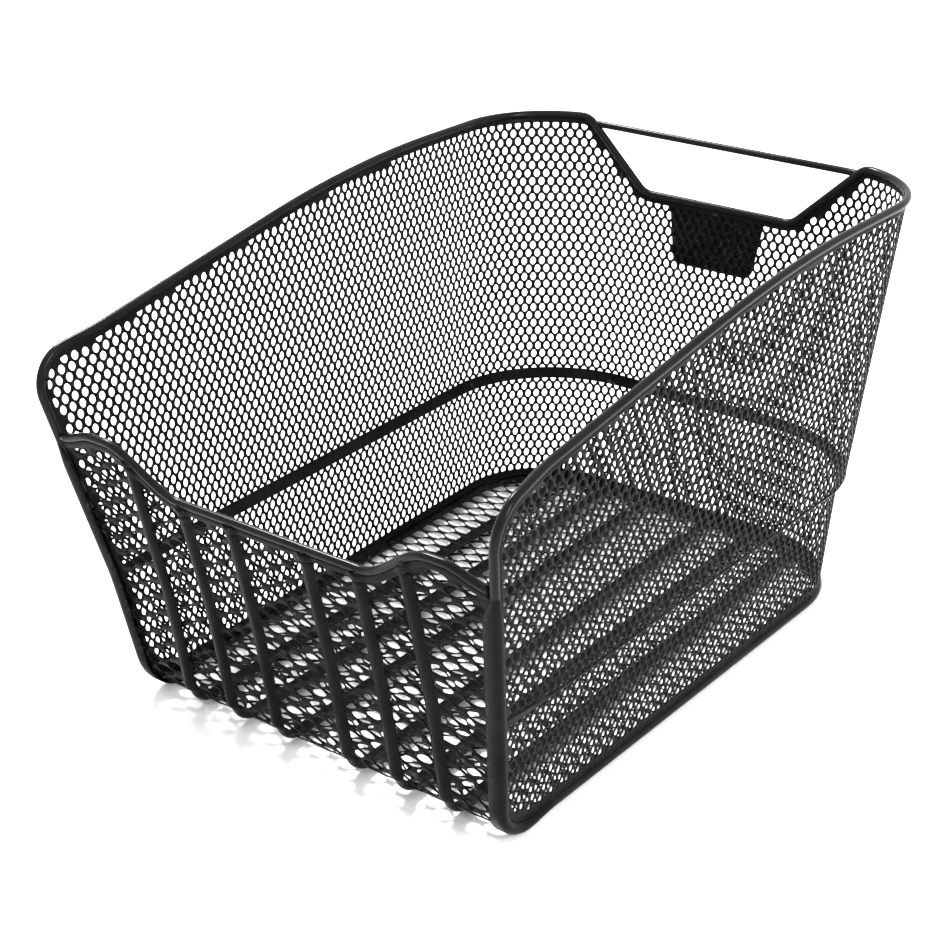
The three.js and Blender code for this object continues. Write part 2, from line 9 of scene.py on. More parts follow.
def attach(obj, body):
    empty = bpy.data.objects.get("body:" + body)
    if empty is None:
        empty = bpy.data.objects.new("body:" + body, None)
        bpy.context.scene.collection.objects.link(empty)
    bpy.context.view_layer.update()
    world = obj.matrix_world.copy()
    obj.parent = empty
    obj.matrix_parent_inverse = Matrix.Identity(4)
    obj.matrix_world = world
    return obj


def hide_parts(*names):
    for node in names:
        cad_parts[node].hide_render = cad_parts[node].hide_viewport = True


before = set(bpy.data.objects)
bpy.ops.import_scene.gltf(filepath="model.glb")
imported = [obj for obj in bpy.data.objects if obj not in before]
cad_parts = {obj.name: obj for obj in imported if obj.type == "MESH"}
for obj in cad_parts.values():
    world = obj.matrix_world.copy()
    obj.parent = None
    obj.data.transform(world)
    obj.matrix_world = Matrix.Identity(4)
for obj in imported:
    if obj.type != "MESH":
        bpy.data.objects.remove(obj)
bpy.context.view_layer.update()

MM = 0.001

# ---------------------------------------------------------------- dimensions, as in the CAD model

# Plan of the wall at three heights: half width at the front edge and at the back, where the front edge
# and the back wall stand, and the radius of the back corners.
BASE_PLAN = np.array([109.5, 116, -162.1, 177.9, 54]) * MM
LEDGE_PLAN = np.array([116.3, 122, -176.1, 189.9, 70]) * MM
TOP_PLAN = np.array([126.3, 131.5, -215.1, 198.4, 56]) * MM
LEDGE_Z = 72 * MM
TOP_Z = 225 * MM
LEDGE_STEP = 3.5 * MM
LEDGE_HEIGHT = 4 * MM
LEDGE_FADE = 50 * MM  # the ledge's step runs out over this length towards the front edges
EDGE_SPREAD = 0.068  # how fast the front edges spread above the ledge
EDGE_REACH = 8 * MM

RIM_RADIUS = 2.2 * MM
BASE_RADIUS = 2.5 * MM
HANDLE_RADIUS = 2.0 * MM
FRONT_RIM_RADIUS = 2.0 * MM

RIM_FRONT_Z = 189 * MM
RIM_SLOPE = 0.174
RIM_STRAIGHT_END_Y = -36.1 * MM
RIM_LEVEL_Y = 103.9 * MM
TOP_BEND = 18 * MM
BOTTOM_BEND = 25 * MM
UPRIGHT_HIGH_Z = 150 * MM
UPRIGHT_MIDDLE_Z = 110 * MM
UPRIGHT_LOW_Z = 40 * MM

NOTCH_HALF_BOTTOM = 49 * MM
NOTCH_HALF_TOP = 90 * MM
NOTCH_Z = 191.4 * MM
NOTCH_BEND = 11 * MM
NOTCH_SHOULDER = 9 * MM  # straight part between the notch and the rim's curve
HANDLE_Z = 226.9 * MM
HANDLE_HALF = 88 * MM

FLOOR_Z = 4.6 * MM
FRONT_BEND = 12 * MM
BEADS = np.array([22, 51.5, 80]) * MM
BEAD_HALF_WIDTH = 4 * MM
BEAD_DEPTH = 2.0 * MM

FRONT_LOW_Z = 136 * MM
FRONT_HUMP_RISE = 21 * MM
FRONT_HUMP_X = 102 * MM
FRONT_HUMP_HALF_FLAT = 8 * MM
FRONT_LOW_HALF = 53 * MM
FRONT_END_DROP = 6 * MM
FRONT_END_RUN = 22 * MM
FRONT_RIM_GAP = 0.7 * MM

# Expanded mesh of the walls, with cells that stand upright.
WALL_COLUMNS = 174
WALL_ROW = 4.85 * MM  # half the long way of a cell
WALL_ROW_START = 0.345  # puts the ledge between two rows
WALL_HOLE = (0.33, 0.50)  # half sizes of a hole, in columns and rows
WALL_CROWDING = 0.05  # how much wider the cells are at the front edges, and narrower at the back
COLUMN_LEAN = 0.16  # most that the columns lean back
COLUMN_LEAN_AT = 0.28  # where they do, as a part of half the wall
LEAN_LEVEL = 175 * MM  # height at which the columns are spaced
PANEL_SPLIT_Z = 150 * MM  # height at which the panels meet where the corners start and end
WALL_TILT = -0.1 * MM

# Larger mesh of the front and floor, with cells that lie across.
APRON_SHORT = 10.1 * MM
APRON_ROW = 8.8 * MM
APRON_HOLE = (0.325, 0.70)
APRON_TILT = -0.25 * MM

STRAND = 0.8 * MM
STRAND_EDGE = 0.4  # thickness left at the rim of a hole
BOND_HALF = 0.26  # half length of the straight bond between two holes, in row spacings

RIM_MARGIN = 4.5 * MM  # solid sheet beside the middle of a wire
BASE_MARGIN = 7.5 * MM
MARGIN_CHANGE = 12 * MM
LEDGE_HALF = 1.6 * MM  # half height of the solid band along the ledge
BEAD_SOLID = 3.2 * MM
BEAD_TOP_GAP = 5 * MM  # the beads end this far below the front rim
BEAD_BACK_GAP = 6 * MM
FLOOR_RUN = 370 * MM  # more than the floor's length

HEM = 4.8 * MM
FRONT_HEM = 5.4 * MM
STRIP_RADIUS = 3.3 * MM
STRIP_FLANGE = 5 * MM
STRIP_TOP_Z = 152 * MM
STRIP_FOOT_RUN = 45 * MM  # how far the strip goes back along the base
STRIP_THICKNESS = 0.8 * MM
STRIP_LIP = 0.75 * MM


# ---------------------------------------------------------------- the shape of the wall

def smooth(x):
    x = np.clip(x, 0, 1)
    return x * x * (3 - 2 * x)


def plan_at(z):
    """half_front, half_back, front, back and corner at heights z, without the ledge's step."""
    z = np.asarray(z, float)
    low = (np.minimum(z, LEDGE_Z) / LEDGE_Z)[..., None]
    high = (np.maximum(z - LEDGE_Z, 0) / (TOP_Z - LEDGE_Z))[..., None]
    plan = BASE_PLAN + (LEDGE_PLAN - BASE_PLAN) * low + (TOP_PLAN - LEDGE_PLAN) * high
    return np.moveaxis(plan, -1, 0)


def step_at(z):
    return LEDGE_STEP * np.clip((z - LEDGE_Z) / LEDGE_HEIGHT + 0.5, 0, 1)


def edge_step_at(z):
    return np.clip((z - LEDGE_Z) * EDGE_SPREAD, 0, EDGE_REACH)


def wall_runs(z):
    """Lengths of the side, the corner and half of the back wall at heights z."""
    _, half_back, front, back, corner = plan_at(z)
    return back - corner - front, (corner + step_at(z)) * math.pi / 2, half_back - corner


def wall_point(u, z):
    """A place on the wall; u is 0 at the right front edge, 1 at the middle of the back, 2 at the left."""
    u, z = np.broadcast_arrays(np.asarray(u, float), np.asarray(z, float))
    side_run, corner_run, back_run = wall_runs(z)
    half_front, half_back, front, back, corner = plan_at(z)
    step = step_at(z)
    along = np.clip(np.where(u > 1, 2 - u, u), 0, 1) * (side_run + corner_run + back_run)
    fade = smooth(along / LEDGE_FADE)
    on_side = np.clip(along / side_run, 0, 1)
    spread = edge_step_at(z) * (1 - fade) + step * fade
    x_side = half_front + (half_back - half_front) * on_side + spread
    angle = np.clip((along - side_run) / (corner + step), 0, math.pi / 2)
    rest = np.maximum(along - side_run - corner_run, 0)
    x_round = half_back - corner + (corner + step) * np.cos(angle) - rest
    y_round = back - corner + (corner + step) * np.sin(angle)
    x = np.where(along < side_run, x_side, x_round)
    y = np.where(along < side_run, front + along, y_round)
    return np.stack([np.where(u > 1, -x, x), y, z], -1)


def front_edge(z):
    return wall_point(np.zeros_like(np.asarray(z, float)), z)


def back_point(x, z):
    """A place on the back wall or on the corners beside it."""
    _, half_back, _, back, corner = plan_at(z)
    past = np.maximum(np.abs(x) - (half_back - corner), 0)
    reach = corner + step_at(z)
    return np.stack([x, back - corner + np.sqrt(np.maximum(reach * reach - past * past, 0)), z], -1)


def rim_height(y):
    start = plan_at(RIM_FRONT_Z)[2]
    curve = RIM_LEVEL_Y - RIM_STRAIGHT_END_Y
    past = np.clip(y - RIM_STRAIGHT_END_Y, 0, curve)
    straight = RIM_FRONT_Z + RIM_SLOPE * (np.minimum(y, RIM_STRAIGHT_END_Y) - start)
    return straight + RIM_SLOPE * (past - past * past / (2 * curve))


RIM_BACK_Z = float(rim_height(RIM_LEVEL_Y))


def rim_line(u):
    """Points of the side rim over places u, before its bends."""
    z = np.full_like(u, RIM_BACK_Z)
    for _ in range(8):
        z = rim_height(wall_point(u, z)[..., 1])
    return wall_point(u, z)


def front_rim_height(x):
    across = np.abs(x)
    rise = smooth((across - FRONT_LOW_HALF) / (FRONT_HUMP_X - FRONT_HUMP_HALF_FLAT - FRONT_LOW_HALF))
    drop = smooth((across - FRONT_HUMP_X) / FRONT_END_RUN)
    return FRONT_LOW_Z + FRONT_HUMP_RISE * rise - FRONT_END_DROP * drop


def bead_depth(x):
    """How far the pressed beads stand out of the front and the floor."""
    nearest = np.abs(np.abs(x)[..., None] - BEADS).min(-1)
    return BEAD_DEPTH * np.cos(np.clip(nearest / BEAD_HALF_WIDTH, 0, 1) * math.pi / 2)


# The front panel leans out from a bend along the floor's front edge.
FRONT_FOOT = front_edge(FLOOR_Z)
FRONT_LEAN = math.atan2(FRONT_FOOT[1] - front_edge(LEDGE_Z)[1], LEDGE_Z - FLOOR_Z)
FRONT_TURN = math.pi / 2 - FRONT_LEAN
BEND_RUN = FRONT_BEND * FRONT_TURN
BEND_CENTRE_Y = FRONT_FOOT[1] + FRONT_BEND
BEND_TOP_Z = FLOOR_Z + FRONT_BEND * (1 - math.cos(FRONT_TURN))


def front_y(z):
    return plan_at(z)[2]


def apron_base(d):
    """Place y, z and outward normal y, z along the floor and front sheet; d is 0 where the bend ends."""
    z_top = BEND_TOP_Z + d * math.cos(FRONT_LEAN)
    angle = np.clip(FRONT_TURN + d / FRONT_BEND, 0, FRONT_TURN)
    y = BEND_CENTRE_Y - FRONT_BEND * np.sin(angle)
    z = FLOOR_Z + FRONT_BEND * (1 - np.cos(angle))
    y = np.where(d > 0, front_y(z_top), y)
    z = np.where(d > 0, z_top, z)
    y = np.where(d < -BEND_RUN, BEND_CENTRE_Y - BEND_RUN - d, y)
    return y, z, -np.sin(angle), -np.cos(angle)


def apron_point(x, d):
    """A place on the sheet that makes the front and the floor."""
    x, d = np.broadcast_arrays(np.asarray(x, float), np.asarray(d, float))
    y, z, ny, nz = apron_base(d)
    depth = bead_depth(x)
    return np.stack([x, y + ny * depth, z + nz * depth], -1)


# ---------------------------------------------------------------- routes of the wires

def bend(before, corner, after, radius, steps):
    """Points of an arc that rounds the corner between two straight runs."""
    before, corner, after = (Vector(p) for p in (before, corner, after))
    back, ahead = (before - corner).normalized(), (after - corner).normalized()
    half = back.angle(ahead) / 2
    centre = corner + (back + ahead).normalized() * (radius / math.sin(half))
    start = corner + back * (radius / math.tan(half)) - centre
    end = corner + ahead * (radius / math.tan(half)) - centre
    return np.array([centre + start.slerp(end, i / steps) * radius for i in range(steps + 1)])


def mirrored(points):
    return points[::-1] * [-1, 1, 1]


def rim_route():
    """The right half of the frame wire, from the middle of the notch down to the base's back corner."""
    start_x = NOTCH_HALF_TOP + NOTCH_SHOULDER
    _, half_back, _, back, corner = plan_at(RIM_BACK_Z)
    reach = corner + LEDGE_STEP
    corner_end = math.acos((start_x - (half_back - corner)) / reach)
    side_run, corner_run, back_run = wall_runs(RIM_BACK_Z)
    u_end = (side_run + reach * corner_end) / (side_run + corner_run + back_run)
    top = back_point(NOTCH_HALF_TOP, RIM_BACK_Z)
    bottom = back_point(NOTCH_HALF_BOTTOM, NOTCH_Z)
    middle = back_point(0, NOTCH_Z)
    rim = rim_line(np.linspace(0, u_end, 160))
    top_bend = bend(front_edge(UPRIGHT_HIGH_Z), rim[0], rim[10], TOP_BEND, 16)
    rim = rim[rim[:, 1] > top_bend[-1][1] + 1 * MM]
    base_end = wall_point(wall_runs(BASE_RADIUS)[0] / sum(wall_runs(BASE_RADIUS)), BASE_RADIUS)
    foot = bend(front_edge(UPRIGHT_LOW_Z), front_edge(BASE_RADIUS), base_end, BOTTOM_BEND, 14)
    base_u = np.linspace(wall_u(foot[-1:])[0], 1, 60)[1:]
    return np.concatenate([
        [middle],
        bend(middle, bottom, top, NOTCH_BEND, 10),
        bend(bottom, top, back_point(start_x, RIM_BACK_Z), NOTCH_BEND, 10),
        rim[::-1],
        top_bend[::-1],
        front_edge(np.linspace(top_bend[0][2], foot[0][2], 24)[1:-1]),
        foot,
        wall_point(base_u, np.full(len(base_u), BASE_RADIUS)),
    ])


def wall_u(points):
    """u of places on the wall."""
    x, y, z = np.abs(points[:, 0]), points[:, 1], points[:, 2]
    side_run, corner_run, back_run = wall_runs(z)
    _, half_back, front, back, corner = plan_at(z)
    total = side_run + corner_run + back_run
    angle = np.arctan2(y - (back - corner), x - (half_back - corner))
    on_round = side_run + (corner + step_at(z)) * angle
    beyond_side = np.where(x > half_back - corner, on_round, total - x)
    along = np.where(y < back - corner, y - front, beyond_side)
    u = np.clip(along / total, 0, 1)
    return np.where(points[:, 0] < 0, 2 - u, u)


FRAME_HALF = rim_route()
FRAME_LOOP = np.concatenate([FRAME_HALF, mirrored(FRAME_HALF)[1:-1]])


def front_rim_route():
    end = float(front_edge(UPRIGHT_HIGH_Z)[0]) - RIM_RADIUS - FRONT_RIM_GAP
    x = np.linspace(-end, end, 121)
    z = front_rim_height(x)
    return np.stack([x, front_y(z), z], -1)


FRONT_RIM = front_rim_route()


def resampled(points, spacing):
    """Points at an even spacing along a line."""
    steps = np.linalg.norm(np.diff(points, axis=0), axis=1)
    along = np.concatenate([[0], np.cumsum(steps)])
    places = np.linspace(0, along[-1], max(int(along[-1] / spacing), 2) + 1)
    return np.stack([np.interp(places, along, points[:, k]) for k in range(3)], -1)


# ---------------------------------------------------------------- mesh building

def add_piece(name, points, faces, material, nodes):
    """A piece of the object from points and faces, which stands for CAD nodes."""
    mesh = bpy.data.meshes.new(name)
    faces = [np.asarray(f, np.int32) for f in faces if len(f)]
    corners = np.concatenate([f.ravel() for f in faces])
    sizes = np.concatenate([np.full(len(f), f.shape[1], np.int32) for f in faces])
    mesh.vertices.add(len(points))
    mesh.vertices.foreach_set("co", np.asarray(points, np.float32).ravel())
    mesh.loops.add(len(corners))
    mesh.loops.foreach_set("vertex_index", corners)
    mesh.polygons.add(len(sizes))
    starts = np.concatenate([[0], np.cumsum(sizes)[:-1]]).astype(np.int32)
    mesh.polygons.foreach_set("loop_start", starts)
    mesh.polygons.foreach_set("loop_total", sizes)
    mesh.polygons.foreach_set("use_smooth", np.ones(len(sizes), bool))
    mesh.update(calc_edges=True)
    mesh.validate()
    piece = bpy.data.objects.new(name, mesh)
    bpy.context.scene.collection.objects.link(piece)
    mesh.materials.append(material)
    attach(piece, "root")
    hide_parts(*nodes)


def grid_faces(rows, columns, closed_rows, closed_columns):
    i = np.arange(rows if closed_rows else rows - 1)
    j = np.arange(columns if closed_columns else columns - 1)
    i, j = np.meshgrid(i, j, indexing="ij")
    ni, nj = (i + 1) % rows, (j + 1) % columns
    quads = np.stack([i * columns + j, ni * columns + j, ni * columns + nj, i * columns + nj], -1)
    return quads.reshape(-1, 4)


def swept(points, across, outward, outline, closed=False):
    """Points and faces of an outline swept along a line; across and outward are its axes there."""
    rings = points[:, None] + across[:, None] * outline[:, :1] + outward[:, None] * outline[:, 1:]
    count, sides = rings.shape[:2]
    vertices = rings.reshape(-1, 3)
    quads = grid_faces(count, sides, closed, True)
    if closed:
        return vertices, [quads]
    caps = np.array([vertices[:sides].mean(0), vertices[-sides:].mean(0)])
    first, last = len(vertices), len(vertices) + 1
    k = np.arange(sides)
    after = (k + 1) % sides
    start = np.stack([np.full(sides, first), k, after], -1)
    end = np.stack([np.full(sides, last), (count - 1) * sides + after, (count - 1) * sides + k], -1)
    return np.concatenate([vertices, caps]), [quads, start, end]


def unit(v):
    return v / np.maximum(np.linalg.norm(v, axis=-1, keepdims=True), 1e-12)


def tangents(points, closed=False):
    if closed:
        return unit(np.roll(points, -1, 0) - np.roll(points, 1, 0))
    return unit(np.gradient(points, axis=0))


def round_outline(radius, sides=18):
    angle = np.arange(sides) * 2 * math.pi / sides
    return np.stack([np.cos(angle), np.sin(angle)], -1) * radius


def tube(points, radius, closed=False):
    """A round wire along points."""
    along = tangents(points, closed)
    outward = np.zeros_like(points)
    axis = unit(np.cross(along[0], [0.3, 0.5, 0.8]))
    for i, t in enumerate(along):
        axis = unit(axis - t * (axis @ t))
        outward[i] = axis
    across = np.cross(outward, along)
    return swept(points, across, outward, round_outline(radius), closed)


def numeric_normals(place, places, step):
    """Points of a surface at places, and its normals there."""
    first, second = np.array([step, 0]), np.array([0, step])
    along = place(places + first) - place(places - first)
    across = place(places + second) - place(places - second)
    return place(places), unit(np.cross(along, across))


def outward(points, faces):
    """Turns faces over if they look into the body."""
    volume = 0
    for face in faces:
        corners = points[face]
        for i in range(1, face.shape[1] - 1):
            volume += np.einsum("ij,ij->", corners[:, 0], np.cross(corners[:, i], corners[:, i + 1]))
    return points, (faces if volume > 0 else [face[:, ::-1] for face in faces])


def skin(points, normals, halves, raise_by=0):
    """A closed thin sheet over a grid of points; halves is half its thickness across the grid."""
    rows, columns = points.shape[:2]
    halves = np.broadcast_to(halves, (rows, columns))[..., None]
    upper = points + normals * (raise_by + halves)
    lower = points + normals * (raise_by - halves)
    ring = np.concatenate([upper, lower[:, ::-1]], 1)
    sides = 2 * columns
    faces = [grid_faces(rows, sides, False, True)]
    j = np.arange(columns - 1)
    start = np.stack([j, j + 1, sides - 2 - j, sides - 1 - j], -1)
    faces.append(start)
    faces.append(start[:, ::-1] + (rows - 1) * sides)
    return outward(ring.reshape(-1, 3), faces)


def joined(parts):
    """One set of points and faces from several."""
    points, faces, count = [], [], 0
    for part_points, part_faces in parts:
        points.append(part_points)
        faces.extend(f + count for f in part_faces if len(f))
        count += len(part_points)
    return np.concatenate(points), faces


def offset_path(path, metric, offsets):
    """Lines beside a path in a sheet's own coordinates, at distances to its left."""
    scaled = path * metric
    ahead = unit(np.gradient(scaled, axis=0))
    left = np.stack([-ahead[:, 1], ahead[:, 0]], -1)
    return (scaled[:, None] + left[:, None] * np.asarray(offsets)[None, :, None]) / metric[:, None]


# ---------------------------------------------------------------- expanded mesh

def distances(points, line):
    """Distance of each point to the nearest point of a line."""
    best = np.full(len(points), np.inf)
    for chunk in np.array_split(line, max(len(line) // 60, 1)):
        gap = np.linalg.norm(points[:, None] - chunk[None], axis=-1).min(1)
        best = np.minimum(best, gap)
    return best


def lattice(columns, rows):
    """Centres of staggered cells, in columns and rows."""
    row_numbers = np.arange(rows[0], rows[1] + 1)
    column_numbers = np.arange(columns[0], columns[1] + 1)
    j, i = np.meshgrid(row_numbers, column_numbers, indexing="ij")
    return np.stack([i + 0.5 * (j % 2), j], -1).reshape(-1, 2).astype(float)


SIDES = 12
CELL_OUTLINE = np.array([
    (0.5, 0), (0.5, BOND_HALF), (0.25, 0.5), (0, 1 - BOND_HALF), (-0.25, 0.5), (-0.5, BOND_HALF),
    (-0.5, 0), (-0.5, -BOND_HALF), (-0.25, -0.5), (0, BOND_HALF - 1), (0.25, -0.5), (0.5, -BOND_HALF),
])
HOLE_ANGLES = np.arange(SIDES) * 2 * math.pi / SIDES
HOLE_ROUND = 1.75  # 2 is an ellipse, and less is more pointed
MIN_ROOM = 0.5 * MM  # a hole needs this much room beside the solid parts
LEAST_HOLE = 0.12  # least that a hole's outline is drawn in, as a part of its size
NORMAL_STEP = 0.02
KEY_SCALE = 5000  # cell outlines that agree to a part in this many share their points


def hole_ring(half_short, half_long):
    c, s = np.cos(HOLE_ANGLES), np.sin(HOLE_ANGLES)
    size = (np.abs(c) ** HOLE_ROUND + np.abs(s) ** HOLE_ROUND) ** (-1 / HOLE_ROUND)
    return np.stack([c * size * half_short, s * size * half_long], -1)


def cells_within(centres, inside):
    """Outlines of the cells, with the points beyond the sheet drawn in to its border."""

    def covered(outlines):
        return inside(outlines.reshape(-1, 2)).reshape(-1, SIDES)

    whole = centres[:, None] + CELL_OUTLINE
    low = np.zeros((len(centres), SIDES))
    high = np.ones((len(centres), SIDES))
    for _ in range(14):
        middle = (low + high) / 2
        good = covered(centres[:, None] + CELL_OUTLINE * middle[..., None])
        low, high = np.where(good, middle, low), np.where(good, high, middle)
    drawn_in = centres[:, None] + CELL_OUTLINE * low[..., None]
    return np.where(covered(whole)[..., None], whole, drawn_in)


def holes_within(middles, place, clearance, size):
    """Which cells have a hole, and the outlines of those holes, kept off the solid parts."""
    hole = hole_ring(*size)
    room = clearance(place(middles))
    ring_room = clearance(place((middles[:, None] + hole).reshape(-1, 2))).reshape(-1, SIDES)
    reach = np.where(ring_room < 0, room[:, None] / np.maximum(room[:, None] - ring_room, 1e-9), 1)
    rings = middles[:, None] + hole * np.clip(reach, LEAST_HOLE, 1)[..., None]
    is_open = room > MIN_ROOM
    return is_open, rings[is_open]


def two_faces(place, places, half, shift=0):
    """Points of the front face of a sheet at places, and then of its back face."""
    points, normals = numeric_normals(place, places, NORMAL_STEP)
    return np.concatenate([points + normals * (shift + half), points + normals * (shift - half)])


def sheet_faces(cells, is_open, outers):
    """Faces of the sheet; cells has the numbers of each cell's outline, of which there are outers."""
    opens, closeds = SIDES * is_open.sum(), (~is_open).sum()
    following = (np.arange(SIDES) + 1) % SIDES
    a, b = cells, cells[:, following]
    open_a, open_b = a[is_open], b[is_open]
    closed_a, closed_b = a[~is_open], b[~is_open]
    hole_a = 2 * outers + np.arange(opens).reshape(-1, SIDES)
    hole_b = hole_a[:, following]
    centre = np.repeat((2 * outers + 2 * opens + np.arange(closeds))[:, None], SIDES, 1)
    edges = np.stack([a, b], -1).reshape(-1, 2)
    edges = edges[edges[:, 0] != edges[:, 1]]
    code = edges[:, 0] * outers + edges[:, 1]
    reverse = edges[:, 1] * outers + edges[:, 0]
    c, d = edges[~np.isin(code, reverse)].T
    faces = [
        (open_a, open_b, hole_b, hole_a),
        (open_b + outers, open_a + outers, hole_a + opens, hole_b + opens),
        (hole_a, hole_b, hole_b + opens, hole_a + opens),
        (d, c, c + outers, d + outers),
        (closed_a, closed_b, centre),
        (closed_b + outers, closed_a + outers, centre + closeds),
    ]
    return [np.stack(corners, -1).reshape(-1, len(corners)) for corners in faces]


def expanded_sheet(centres, place, inside, clearance, holes, tilt, hole_centres=None):
    """Points and faces of expanded mesh.

    centres are cell centres in lattice units, place maps lattice units to points on the sheet, inside
    tells which places the sheet covers, clearance is the distance of points to the sheet's solid parts,
    negative in them, holes is a hole's half size, and hole_centres moves holes within their cells.
    """
    middles = centres if hole_centres is None else hole_centres
    outlines = cells_within(centres, inside).reshape(-1, 2)
    is_open, rings = holes_within(middles, place, clearance, holes)
    keys = np.round(outlines * KEY_SCALE).astype(np.int64)
    _, first, cells = np.unique(keys, axis=0, return_index=True, return_inverse=True)
    lean = np.tile(np.cos(HOLE_ANGLES), len(rings))[:, None] * tilt
    points = np.concatenate([
        two_faces(place, outlines[first], STRAND / 2),
        two_faces(place, rings.reshape(-1, 2), STRAND * STRAND_EDGE / 2, lean),
        two_faces(place, centres[~is_open], STRAND / 2),
    ])
    return points, sheet_faces(cells.reshape(-1, SIDES), is_open, len(first))


# ---------------------------------------------------------------- materials

def material_nodes(name):
    material = bpy.data.materials.new(name)
    material.use_nodes = True
    tree = material.node_tree
    tree.nodes.clear()
    return material, tree


def link_all(tree, *pairs):
    for source, target in pairs:
        tree.links.new(source, target)


def grey(value):
    return value, value, value, 1


def powder_coat(name, dark, light, index, roughness, grain, grain_depth, rubbing_and_sheen):
    """Satin black powder coat on steel: slight mottling, fine orange peel, and lighter grey specks on
    edges and strand ridges, partly edge wear and partly a painted highlight.
    """
    material, tree = material_nodes(name)
    new = tree.nodes.new
    output = new("ShaderNodeOutputMaterial")
    shader = new("ShaderNodeBsdfPrincipled")
    shader.inputs["IOR"].default_value = index
    place = new("ShaderNodeTexCoord").outputs["Object"]
    mottle = new("ShaderNodeTexNoise")
    mottle.inputs["Scale"].default_value = 55
    mottle.inputs["Detail"].default_value = 5
    colour = new("ShaderNodeValToRGB")
    colour.color_ramp.elements[0].position = 0.35
    colour.color_ramp.elements[0].color = grey(dark)
    colour.color_ramp.elements[1].position = 0.7
    colour.color_ramp.elements[1].color = grey(light)
    # Pointiness lifts the colour to a lighter grey on edges and on the ridges of the mesh strands, gated
    # by speckle. This is partly edge wear and partly a painted highlight for the fine highlights along
    # the strands.
    edge = new("ShaderNodeNewGeometry").outputs["Pointiness"]
    ramp = new("ShaderNodeMapRange")
    ramp.inputs["From Min"].default_value = 0.53
    ramp.inputs["From Max"].default_value = 0.62
    speck = new("ShaderNodeTexNoise")
    speck.inputs["Scale"].default_value = 420
    speck.inputs["Detail"].default_value = 3
    gate = new("ShaderNodeMapRange")
    gate.inputs["From Min"].default_value = 0.52
    gate.inputs["From Max"].default_value = 0.66
    both = new("ShaderNodeMath")
    both.operation = "MULTIPLY"
    scaled = new("ShaderNodeMath")
    scaled.operation = "MULTIPLY"
    scaled.inputs[1].default_value = rubbing_and_sheen
    rubbing_and_sheen_mix = new("ShaderNodeMix")
    rubbing_and_sheen_mix.data_type = "RGBA"
    rubbing_and_sheen_mix.inputs["B"].default_value = (0.16, 0.16, 0.165, 1)
    rough = new("ShaderNodeMapRange")
    rough.inputs["To Min"].default_value = roughness - 0.07
    rough.inputs["To Max"].default_value = roughness + 0.09
    peel = new("ShaderNodeTexNoise")
    peel.inputs["Scale"].default_value = grain
    peel.inputs["Detail"].default_value = 2
    bump = new("ShaderNodeBump")
    bump.inputs["Strength"].default_value = 0.5
    bump.inputs["Distance"].default_value = grain_depth
    link_all(
        tree,
        (place, mottle.inputs["Vector"]),
        (place, speck.inputs["Vector"]),
        (place, peel.inputs["Vector"]),
        (mottle.outputs["Fac"], colour.inputs["Fac"]),
        (edge, ramp.inputs["Value"]),
        (speck.outputs["Fac"], gate.inputs["Value"]),
        (ramp.outputs["Result"], both.inputs[0]),
        (gate.outputs["Result"], both.inputs[1]),
        (both.outputs["Value"], scaled.inputs[0]),
        (scaled.outputs["Value"], rubbing_and_sheen_mix.inputs["Factor"]),
        (colour.outputs["Color"], rubbing_and_sheen_mix.inputs["A"]),
        (rubbing_and_sheen_mix.outputs["Result"], shader.inputs["Base Color"]),
        (mottle.outputs["Fac"], rough.inputs["Value"]),
        (rough.outputs["Result"], shader.inputs["Roughness"]),
        (peel.outputs["Fac"], bump.inputs["Height"]),
        (bump.outputs["Normal"], shader.inputs["Normal"]),
        (shader.outputs["BSDF"], output.inputs["Surface"]),
    )
    return material


# The last argument sets how strong the lighter grey on edges and strand ridges is: partly wear, partly
# painted highlight.
WIRE_COAT = powder_coat(
    "wire_coat", dark=0.004, light=0.008, index=1.2, roughness=0.2,
    grain=900, grain_depth=0.06 * MM, rubbing_and_sheen=0.4)
MESH_COAT = powder_coat(
    "mesh_coat", dark=0.004, light=0.008, index=1.11, roughness=0.3,
    grain=1300, grain_depth=0.05 * MM, rubbing_and_sheen=0.3)
BADGE_COAT = powder_coat(
    "badge_coat", dark=0.003, light=0.005, index=1.12, roughness=0.3,
    grain=1500, grain_depth=0.01 * MM, rubbing_and_sheen=0.1)


# ---------------------------------------------------------------- wall panels

COARSE_FRAME = resampled(FRAME_LOOP, 8 * MM)
CLOSED_FRAME = np.concatenate([FRAME_LOOP, FRAME_LOOP[:1]])
FINE_FRAME = resampled(CLOSED_FRAME, 1.5 * MM)
FINE_FRONT_RIM = resampled(FRONT_RIM, 1.5 * MM)
EXACT_WITHIN = 20 * MM


def frame_distance(points):
    """Distance of points to the frame wire, exact only near it."""
    gap = distances(points, COARSE_FRAME)
    near = gap < EXACT_WITHIN
    gap[near] = distances(points[near], FINE_FRAME)
    return gap


def wall_total(z):
    return sum(wall_runs(z))


def row_height(cell):
    return (cell[..., 1] + WALL_ROW_START) * WALL_ROW


def column_u(cell):
    """u of lattice places: the columns lean back a little over the front of the side walls."""
    column, z = cell[..., 0], row_height(cell)
    half_count = WALL_COLUMNS / 2
    across = np.where(column > half_count, WALL_COLUMNS - column, column) / half_count
    spaced = across * (1 + WALL_CROWDING * (1 - across))
    lean = COLUMN_LEAN * np.exp(-((spaced - COLUMN_LEAN_AT) / COLUMN_LEAN_AT) ** 2)
    u = spaced + lean * (z - LEAN_LEVEL) / wall_total(z)
    return np.where(column > half_count, 2 - u, u)


def wall_place(cell):
    return wall_point(column_u(cell), row_height(cell))


FRAME_U = wall_u(FRAME_LOOP)
HALF_U = FRAME_U[:len(FRAME_HALF)]


def upright_point(z):
    """Number of the point of the frame wire's right half that is on the upright at height z."""
    return int(np.argmin(np.abs(FRAME_HALF[:, 2] - z) + np.abs(HALF_U)))


